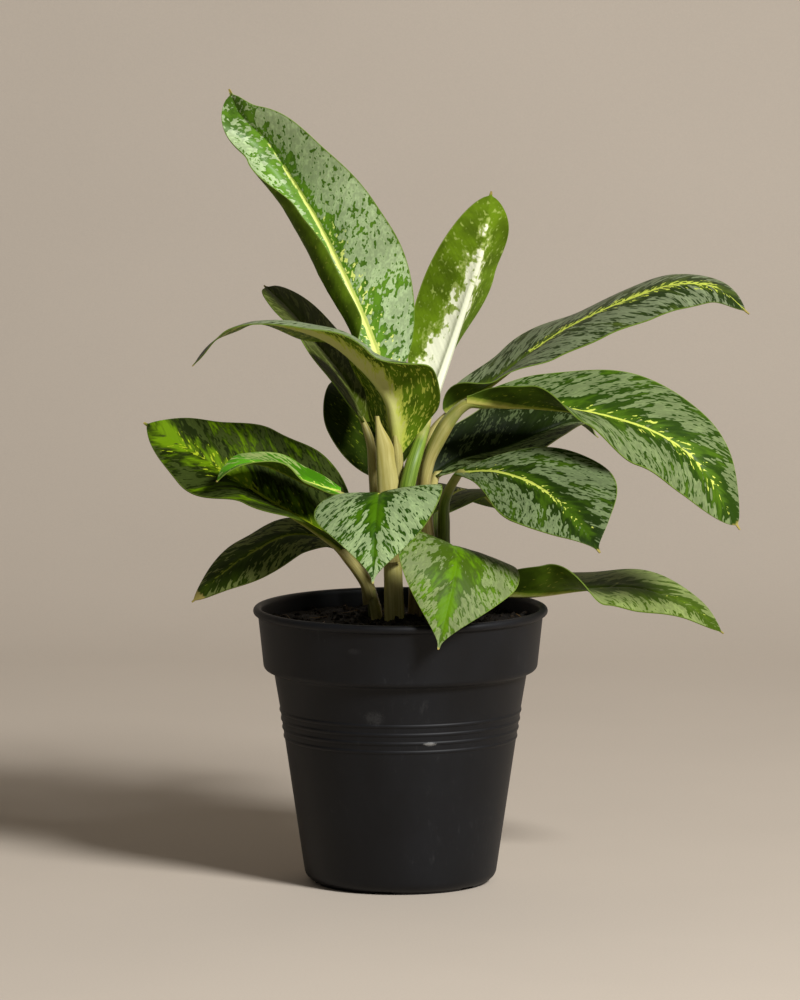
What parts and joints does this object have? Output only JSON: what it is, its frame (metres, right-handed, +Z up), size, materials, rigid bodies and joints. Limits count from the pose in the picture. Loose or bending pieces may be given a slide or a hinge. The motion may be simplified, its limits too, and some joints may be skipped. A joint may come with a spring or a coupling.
{
  "type": "potted chinese evergreen",
  "caption": "Leafy house plant with broad arching patterned blades on short pale stems, standing in soil in a tapered black plastic nursery pot with a deep collar.",
  "frame": {"origin": "the pot's axis at the floor, in the middle of its base", "axes": "+Z up along the pot's axis; the plant's front, as pictured, faces -Y, and its right side lies towards +X"},
  "size_m": [0.2475, 0.1641, 0.3218],
  "materials": {
    "black_plastic": "matte moulded",
    "peat": "damp crumbly peat",
    "cream_stem": "smooth satin",
    "leaf_green": "waxy satin"
  },
  "bodies": {
    "root": {"pot": "black_plastic", "potting_soil": "peat", "shoot_main": "cream_stem", "shoot_right": "cream_stem", "shoot_back": "cream_stem", "shoot_left": "cream_stem", "shoot_low": "cream_stem", "leaf_tall_left": "leaf_green", "leaf_young_top": "leaf_green", "leaf_upper_right": "leaf_green", "leaf_broad_right": "leaf_green", "leaf_shaded_right": "leaf_green", "leaf_middle_right": "leaf_green", "leaf_front_right": "leaf_green", "leaf_front_left": "leaf_green", "leaf_arching_left": "leaf_green", "leaf_behind_left": "leaf_green", "leaf_dark_back": "leaf_green", "leaf_broad_left": "leaf_green", "leaf_narrow_left": "leaf_green", "leaf_low_left": "leaf_green", "leaf_low_right": "leaf_green", "leaf_small_back": "leaf_green"}
  },
  "joints": []
}
